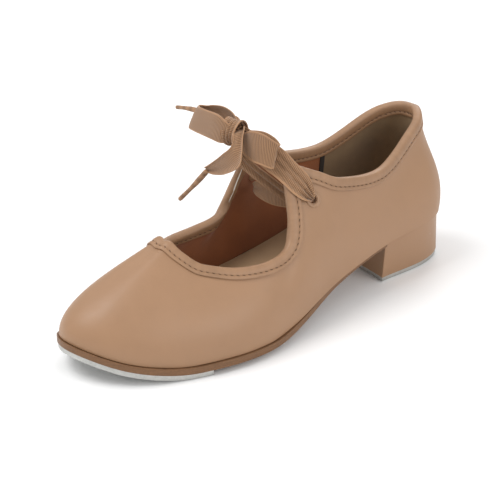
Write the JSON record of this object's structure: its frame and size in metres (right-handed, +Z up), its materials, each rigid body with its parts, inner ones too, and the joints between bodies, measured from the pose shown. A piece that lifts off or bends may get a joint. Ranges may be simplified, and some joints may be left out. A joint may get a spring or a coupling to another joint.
{
  "type": "tap shoe",
  "caption": "Left tap shoe with a low covered heel, metal taps under toe and heel, and a ribbon tied in a bow across two tabs.",
  "frame": {"origin": "middle of the heel tap's ground face, on the ground", "axes": "+Z up, toe towards -Y, outer side of the foot at +X, so +Y points out of the heel's back"},
  "size_m": [0.1214, 0.2479, 0.105],
  "materials": {
    "upper_leather": "smooth tan synthetic leather, satin",
    "stiffener_fibre": "pressed thermoplastic fibre sheet",
    "interlining_cloth": "woven cotton backing",
    "vamp_lining_cloth": "brushed lining cloth, orange brown",
    "quarter_lining_cloth": "soft split lining, grey brown",
    "seam_tape": "black woven tape",
    "binding_tape": "folded tan tape, stitched",
    "eyelet_enamel": "tan enamel on brass",
    "ribbon": "ribbed grosgrain ribbon, tan",
    "ribbon_tip": "tightly rolled and set ribbon end",
    "sock": "thin padded sock sheet",
    "insole_fibre": "cellulose insole board",
    "shank_steel": "tempered strip",
    "filler_cork": "cork and latex filler",
    "sole_leather": "brown sole with a smooth trimmed edge",
    "heel_core": "moulded heel",
    "nail_steel": "ringed steel nail",
    "tap_metal": "cast and tumbled, satin",
    "screw_steel": "zinc plated"
  },
  "bodies": {
    "root": {"upper": "upper_leather", "toe_puff": "stiffener_fibre", "heel_counter": "stiffener_fibre", "interlining_lateral": "interlining_cloth", "interlining_medial": "interlining_cloth", "vamp_lining": "vamp_lining_cloth", "quarter_lining": "quarter_lining_cloth", "lining_seam_tape_lateral": "seam_tape", "lining_seam_tape_medial": "seam_tape", "topline_binding": "binding_tape", "eyelet_lateral": "eyelet_enamel", "eyelet_medial": "eyelet_enamel", "ribbon_lace": "ribbon", "lace_tips": "ribbon_tip", "sock_lining": "sock", "insole_board": "insole_fibre", "shank": "shank_steel", "bottom_filler": "filler_cork", "outsole": "sole_leather", "heel_block": "heel_core", "heel_cover": "upper_leather", "heel_nails": "nail_steel", "heel_tap": "tap_metal", "toe_tap": "tap_metal", "heel_tap_screws": "screw_steel", "toe_tap_screws": "screw_steel"}
  },
  "joints": []
}
